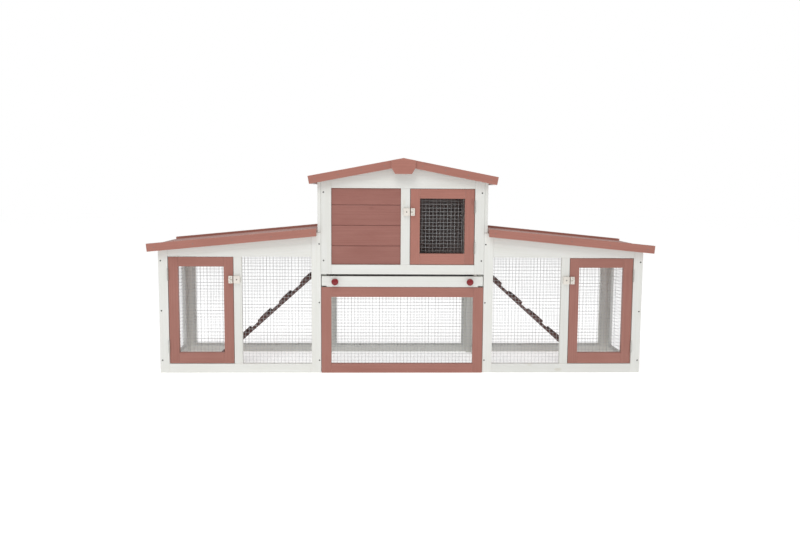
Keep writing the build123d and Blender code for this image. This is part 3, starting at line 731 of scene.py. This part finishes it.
for side, inward in (("left", (1, 0, 0)), ("right", (-1, 0, 0))):
    welded_panel(f"{side}_run_front_mesh", "hutch", TO_BACK)
    welded_panel(f"{side}_run_back_mesh", "hutch", TO_FRONT)
    welded_panel(f"{side}_run_end_mesh", "hutch", inward)
welded_panel("under_front_mesh", "hutch", TO_BACK)
welded_panel("under_back_mesh", "hutch", TO_FRONT)

# ----------------------------------------------------------------------------------------
# Doors
# Three brown frames of four sticks with a wire panel stapled behind each, hung on plated
# steel butt hinges. The run doors swing out at the outer ends, the house door on the right.
# ----------------------------------------------------------------------------------------
# Zinc plate, smooth and slightly yellow
hinge_steel = metal("zinc_plated_hinges", "C4C3BE", "9C9A94", 0.3, 8 * MM)


def finish_node(node, material):
    """Gives a CAD node that keeps its own shape its material."""
    solid = frame["nodes"][node].data
    solid.materials.clear()
    solid.materials.append(material)


for door in ("left", "right", "house"):
    # The house door takes the roofs' lighter brown, with its painted light
    coat = lit_brown_coat if door == "house" else brown_paint
    timber(f"{door}_door_frame", f"{door}_door", coat)
    welded_panel(f"{door}_door_mesh", f"{door}_door", TO_BACK)
    finish_node(f"{door}_door_hinge_leaves", hinge_steel)
finish_node("hinge_fixed_leaves", hinge_steel)

# ----------------------------------------------------------------------------------------
# Slide latches
# A moulded cream block on each door guides a cream bolt, and a cream keeper on the stile takes
# its end. The keeper is held by one dark screw in its middle, and the guide by two small ones.
# ----------------------------------------------------------------------------------------


def moulded(name, colour, shadow, roughness, grit, coat=0.0):
    """Injection-moulded plastic: one even colour, a fine spark-eroded texture, a soft sheen.
    grit is the size of that texture, and the flow of the plastic clouds it 14 mm wide."""
    material = bpy.data.materials.new(name)
    material.use_nodes = True
    tree = material.node_tree
    shader = tree.nodes["Principled BSDF"]
    place = add(tree, "TexCoord", {}).outputs["Object"]
    flow = add(tree, "TexNoise", {"Vector": place, "Scale": 1 / (14 * MM), "Detail": 2.0})
    tint = add(
        tree,
        "MapRange",
        {"Value": flow.outputs["Fac"], "From Min": 0.35, "From Max": 0.75, "To Max": 0.5},
    )
    shade = add(
        tree, "Mix", {0: tint.outputs[0], 6: linear(colour), 7: linear(shadow)}, data_type="RGBA"
    )
    tree.links.new(shade.outputs[2], shader.inputs["Base Color"])
    eroded = add(tree, "TexNoise", {"Vector": place, "Scale": 1 / grit, "Detail": 2.0})
    rough = add(
        tree,
        "MapRange",
        {"Value": eroded.outputs["Fac"], "To Min": roughness - 0.06, "To Max": roughness + 0.08},
    )
    tree.links.new(rough.outputs[0], shader.inputs["Roughness"])
    bump = add(
        tree,
        "Bump",
        {"Height": eroded.outputs["Fac"], "Strength": 0.12, "Distance": 0.2 * MM},
    )
    tree.links.new(bump.outputs[0], shader.inputs["Normal"])
    shader.inputs["IOR"].default_value = 1.49
    shader.inputs["Coat Weight"].default_value = coat
    return material


def screw_pattern(radius, name):
    """A pan head on Z, its radius in mm, with a cross recess pushed into its middle rings.
    Known fault: the head's vertices and edges are all still selected when the recess is
    extruded, so fins are left inside the heads, and the first head made is doubled instead."""
    rings = [(1.0, -0.3), (1.0, 0.1), (0.92, 0.55), (0.62, 0.85), (0.22, 0.95)]
    head = turned([(radius * r, h * radius * 0.3) for r, h in rings], 16, name)
    # The recess is the flat middle, and one face in four of the ring around it
    for face in head.data.polygons:
        middle = face.center
        reach = math.hypot(middle.x, middle.y) / (radius * MM)
        quarter = math.degrees(math.atan2(middle.y, middle.x)) % 90
        arm = 0.3 < reach < 0.6 and quarter < 23
        face.select = face.normal.z > 0.3 and (reach < 0.1 or arm)
    bpy.ops.object.mode_set(mode="EDIT")
    bpy.ops.mesh.select_mode(type="FACE")
    bpy.ops.mesh.extrude_region_move(
        TRANSFORM_OT_translate={"value": (0, 0, -0.3 * radius * MM)}
    )
    bpy.ops.object.mode_set(mode="OBJECT")
    return head


# Cream with a satin surface
cream_plastic = moulded("cream_moulded_plastic", "E6E1D8", "D9D2C6", 0.42, 0.5 * MM)
# Phosphate and oil: nearly black, with no shine
dark_screw = metal("black_phosphated_screws", "4A4744", "2E2C2A", 0.42, 2 * MM)
FIT = 0.3 * MM  # between the bolt and what it slides in
STEM = 3.8 * MM  # neck of the finger stub
BRIDGE = 1.5 * MM  # closes the end of the guide's slot
BOLT_T = 5.8 * MM
KEEPER_GAP = 4 * MM  # between the guide and the keeper
KEEPER_L = 26 * MM
KEEPER_DEEP = 16 * MM  # pocket for the bolt
LATCH_SOFT = 1.1 * MM  # rounding of the blocks' edges
SCREW_SPOT = 0.34  # of the guide's height, from its middle


def block(low, high, soft=0.0):
    """A block between two corners, with rounded edges if it is soft."""
    bpy.ops.object.select_all(action="DESELECT")
    low, high = Vector(low), Vector(high)
    bpy.ops.mesh.primitive_cube_add(size=1, location=(low + high) / 2)
    made = bpy.context.object
    made.scale = [abs(c) for c in high - low]
    bpy.ops.object.transform_apply(location=True, rotation=True, scale=True)
    if soft:
        round_edges(made, soft, 3)
    return made


def hollow(piece, *corners):
    """Cuts the space between two corners out of a piece."""
    cutter = block(*corners)
    alone(piece)
    cut = piece.modifiers.new("pocket", "BOOLEAN")
    cut.operation = "DIFFERENCE"
    cut.solver = "EXACT"
    cut.object = cutter
    bpy.ops.object.modifier_apply(modifier=cut.name)
    bpy.data.objects.remove(cutter)


keepers, keeper_spots = [], []
for door in ("left", "right", "house"):
    low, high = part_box(f"{door}_latch_body")
    bolt_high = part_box(f"{door}_latch_bolt")[1]
    middle_z = (low.z + high.z) / 2
    # The keeper lies on the side of the door's free edge: towards the middle of the hutch
    toward = -1 if door == "left" else 1
    near, far = (low.x, high.x) if toward > 0 else (high.x, low.x)
    bolt_face = bolt_high.y - BOLT_T - FIT
    half = bolt_high.z - middle_z + FIT
    stem_half = STEM / 2 + FIT
    guide = block(low, high, LATCH_SOFT)
    hollow(
        guide,
        (low.x - MM, bolt_face, middle_z - half),
        (high.x + MM, high.y + MM, middle_z + half),
    )
    hollow(
        guide,
        (near - toward * MM, low.y - MM, middle_z - stem_half),
        (far - toward * BRIDGE, high.y + MM, middle_z + stem_half),
    )
    guide.name = guide.data.name = f"{door}_latch_guide"
    guide.data.materials.clear()
    guide.data.materials.append(cream_plastic)
    alone(guide)
    bpy.ops.object.shade_smooth_by_angle(angle=math.radians(35))
    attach(guide, f"{door}_door")
    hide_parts(f"{door}_latch_body")
    finish_node(f"{door}_latch_bolt", cream_plastic)
    middle_x = (low.x + high.x) / 2
    reach = (high.z - low.z) * SCREW_SPOT
    spots = [facing((middle_x, low.y, middle_z + s * reach), TO_FRONT) for s in (-1, 1)]
    screws = copies(screw_pattern(1.5, "guide_screw"), spots, f"{door}_latch_screws")
    screws.data.materials.append(zinc_nail)
    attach(screws, f"{door}_door")

    mouth = near - toward * KEEPER_GAP
    keeper = block(
        (mouth - toward * KEEPER_L, low.y, low.z), (mouth, high.y, high.z), LATCH_SOFT
    )
    hollow(
        keeper,
        (mouth - toward * KEEPER_DEEP, bolt_face, middle_z - half),
        (mouth + toward * MM, high.y + MM, middle_z + half),
    )
    keepers.append(keeper)
    keeper_spots.append(facing((mouth - toward * KEEPER_L / 2, low.y, middle_z), TO_FRONT))
    alone(keeper)
    bpy.ops.object.shade_smooth_by_angle(angle=math.radians(35))
keeper = join(keepers, "latch_keeper_blocks")
keeper.data.materials.clear()
keeper.data.materials.append(cream_plastic)
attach(keeper, "hutch")
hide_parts("latch_keepers")
keeper_screws = copies(screw_pattern(2.3, "keeper_screw"), keeper_spots, "latch_keeper_screws")
keeper_screws.data.materials.append(dark_screw)
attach(keeper_screws, "hutch")

# ----------------------------------------------------------------------------------------
# Pull-out tray
# A folded galvanised pan with a rolled rim, screwed behind a white timber front with two
# turned red knobs. The whole tray slides out on the runners for cleaning.
# ----------------------------------------------------------------------------------------
timber("tray_front", "tray", white_paint, arris=0.8)
# Hot-dipped zinc: light grey, with patches about 22 mm wide
tray_sheet = metal("galvanised_tray_sheet", "C2C5C7", "A0A4A7", 0.34, 22 * MM, bump=0.1)
pan = merged_copy("tray_pan")
round_edges(pan, 0.35 * MM, 2)
pan.data.materials.append(tray_sheet)
low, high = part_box("tray_pan")
RIM_R = 1.6 * MM
RIM_CORNER = 5 * MM
bpy.ops.object.select_all(action="DESELECT")
bpy.ops.mesh.primitive_plane_add(
    size=1, location=((low.x + high.x) / 2, (low.y + high.y) / 2, high.z - RIM_R)
)
rim = bpy.context.object
rim.scale = (high.x - low.x - 2 * RIM_R, high.y - low.y - 2 * RIM_R, 1)
bpy.ops.object.transform_apply(location=True, rotation=True, scale=True)
bpy.ops.object.mode_set(mode="EDIT")
bpy.ops.mesh.select_all(action="SELECT")
bpy.ops.mesh.bevel(offset=RIM_CORNER, segments=4, affect="VERTICES")
bpy.ops.mesh.delete(type="ONLY_FACE")
bpy.ops.object.mode_set(mode="OBJECT")
bpy.ops.object.convert(target="CURVE")
rim.data.bevel_depth = RIM_R
rim.data.bevel_resolution = 3
bpy.ops.object.convert(target="MESH")
rim = bpy.context.object
rim.data.materials.clear()
rim.data.materials.append(tray_sheet)
bpy.ops.object.shade_smooth_by_angle(angle=math.radians(50))
pan = join([pan, rim], "tray_folded_pan")
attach(pan, "tray")
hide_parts("tray_pan")

# Red lacquer on turned wood lies as even as moulded plastic: deep red, with a highlight
knob_red = moulded("red_gloss_knobs", "86101A", "670B12", 0.32, 1.2 * MM, coat=0.1)
KNOB_R = 14.0
# Radius and height in mm, from the foot on the tray front to the middle of the face
KNOB_PROFILE = [
    (8.0, -0.4),
    (7.0, 2.0),
    (6.4, 5.5),
    (7.2, 7.6),
    (10.6, 8.8),
    (13.0, 10.2),
    (13.95, 12.2),
    (KNOB_R, 13.6),
    (13.3, 15.6),
    (11.6, 17.4),
    (8.6, 18.9),
    (4.8, 19.7),
    (1.4, 19.95),
]
low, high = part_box("tray_knobs")
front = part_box("under_front_frame")[0].y
knob_places = [
    facing((x, front, (low.z + high.z) / 2), TO_FRONT)
    for x in (low.x + KNOB_R * MM, high.x - KNOB_R * MM)
]
knobs = copies(turned(KNOB_PROFILE, 40, "knob"), knob_places, "tray_turned_knobs")
knobs.data.materials.append(knob_red)
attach(knobs, "tray")
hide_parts("tray_knobs")

# ----------------------------------------------------------------------------------------
# Ramps
# A brown board with five nailed cleats for grip, painted dark as painted shade for its place
# inside the run, hung below each doorway on a plated rod that turns in two steel ears.
# ----------------------------------------------------------------------------------------
# Brown, painted dark as painted shade inside the run: matt, with strong grain
ramp_shade_brown = painted_pine(
    "brown_pine_painted_shade",
    paint="63433D",
    thin="523531",
    knot="3C2623",
    arris="7A5750",
    roughness=0.6,
    grain_show=0.8,
    knot_show=0.6,
)
for side in ("left", "right"):
    timber(f"{side}_ramp_board", f"{side}_ramp", ramp_shade_brown, arris=0.6)
    timber(f"{side}_ramp_cleats", f"{side}_ramp", ramp_shade_brown, arris=1.2)
    finish_node(f"{side}_ramp_rod", hinge_steel)
finish_node("ramp_ears", hinge_steel)

# ----------------------------------------------------------------------------------------
# Frame screws
# Dark phosphated screws through the front stiles into the posts and walls, with a cross
# recess. They are left bare, and show as dark dots on the white paint.
# ----------------------------------------------------------------------------------------
merged_copy("frame_screws")
bpy.ops.mesh.separate(type="LOOSE")
stubs = list(bpy.context.selected_objects)
stub_places = []
for stub in stubs:
    corners = [Vector(c) for c in stub.bound_box]
    middle = sum(corners, Vector()) / 8
    stub_places.append((round(middle.x, 4), round(middle.z, 4), middle))
stub_places.sort(key=lambda place: place[:2])
for stub in stubs:
    bpy.data.objects.remove(stub)
screw_places = [facing((middle.x, front, middle.z), TO_FRONT) for _, _, middle in stub_places]
frame_screws = copies(screw_pattern(3.0, "frame_screw"), screw_places, "frame_screw_heads")
frame_screws.data.materials.append(dark_screw)
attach(frame_screws, "hutch")
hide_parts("frame_screws")

# ----------------------------------------------------------------------------------------
# Studio
# A pale seamless floor, an even white surround, and large soft lights above and in front,
# with the camera nearly square to the front, at about the height of the house.
# ----------------------------------------------------------------------------------------
bpy.ops.object.select_all(action="DESELECT")
bpy.ops.mesh.primitive_plane_add(size=40, location=(0, 0, -0.2 * MM))
floor = bpy.context.object
floor.name = "studio_floor"
bpy.ops.object.transform_apply(location=True, rotation=True, scale=True)
# Matt pale paper that glows a little, so that it runs into the surround without a line
pale = bpy.data.materials.new("pale_studio_floor")
pale.use_nodes = True
paper = pale.node_tree.nodes["Principled BSDF"]
paper.inputs["Base Color"].default_value = linear("F3F3F3")
paper.inputs["Roughness"].default_value = 0.9
paper.inputs["Specular IOR Level"].default_value = 0.1
paper.inputs["Emission Color"].default_value = (1, 1, 1, 1)
paper.inputs["Emission Strength"].default_value = 0.55
floor.data.materials.append(pale)

world = bpy.data.worlds.new("studio")
bpy.context.scene.world = world
world.use_nodes = True
surround = world.node_tree.nodes["Background"]
surround.inputs["Color"].default_value = (1, 1, 1, 1)
# Full white where the camera looks past the hutch, and half of that as light on it
seen = add(world.node_tree, "LightPath", {}).outputs["Is Camera Ray"]
share = add(world.node_tree, "MapRange", {"Value": seen, "To Min": 0.5, "To Max": 1.0})
world.node_tree.links.new(share.outputs[0], surround.inputs["Strength"])
bpy.context.scene.view_settings.view_transform = "Standard"

# Places and sizes in metres, power in watts
for name, place, aim, size, power in (
    ("front_softbox", (-0.8, -2.3, 3.4), (0, 0, 0.4), 1.7, 44.5),
    ("top_softbox", (0.5, 0.2, 3.2), (0, 0, 0.2), 2.0, 16),
):
    light = bpy.data.lights.new(name, "AREA")
    light.size = size
    light.energy = power
    lamp = bpy.data.objects.new(name, light)
    lamp.location = place
    lamp.rotation_euler = (Vector(aim) - Vector(place)).to_track_quat("-Z", "Y").to_euler()
    bpy.context.scene.collection.objects.link(lamp)

CAMERA_AT = Vector((-104.7, -3356.7, 746.2)) * MM
YAW, PITCH_DOWN, ROLL = math.radians(1.714), math.radians(5.611), math.radians(0.363)
flat = math.cos(PITCH_DOWN)
ahead = Vector((math.sin(YAW) * flat, math.cos(YAW) * flat, -math.sin(PITCH_DOWN)))
sideways = Vector((math.cos(YAW), -math.sin(YAW), 0))
above = sideways.cross(ahead)
right = sideways * math.cos(ROLL) + above * math.sin(ROLL)
above = above * math.cos(ROLL) - sideways * math.sin(ROLL)
lens = bpy.data.cameras.new("camera")
lens.lens = 35.127
lens.sensor_width = 36.0
camera = bpy.data.objects.new("camera", lens)
turn = Matrix((right, above, -ahead)).transposed().to_4x4()
camera.matrix_world = Matrix.Translation(CAMERA_AT) @ turn
bpy.context.scene.collection.objects.link(camera)
bpy.context.scene.camera = camera
